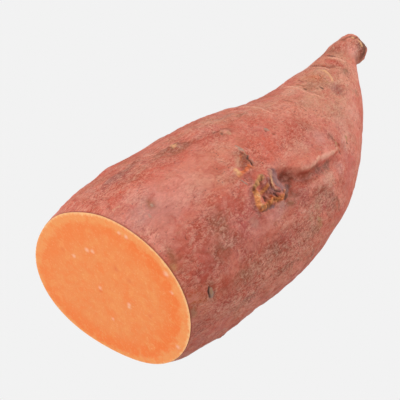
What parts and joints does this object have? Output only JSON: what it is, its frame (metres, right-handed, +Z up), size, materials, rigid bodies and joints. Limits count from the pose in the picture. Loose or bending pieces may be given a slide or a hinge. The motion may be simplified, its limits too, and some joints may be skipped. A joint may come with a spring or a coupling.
{
  "type": "cut sweet potato",
  "caption": "Sweet potato root cut across near its thickest place, lying on its belly, with a flat cut face, a creased skin with root scars, and a narrow neck with a broken end.",
  "frame": {"origin": "on the surface that the root rests on, under the middle of its bounding box", "axes": "+X along the root from the cut face to the broken end of the neck, +Y to the side that the neck turns to, +Z up"},
  "size_m": [0.1586, 0.0746, 0.0692],
  "materials": {
    "skin": "matt rose-brown root skin with a slight sheen; the cut face is moist orange flesh"
  },
  "bodies": {
    "root": {"sweet_potato": "skin"}
  },
  "joints": []
}
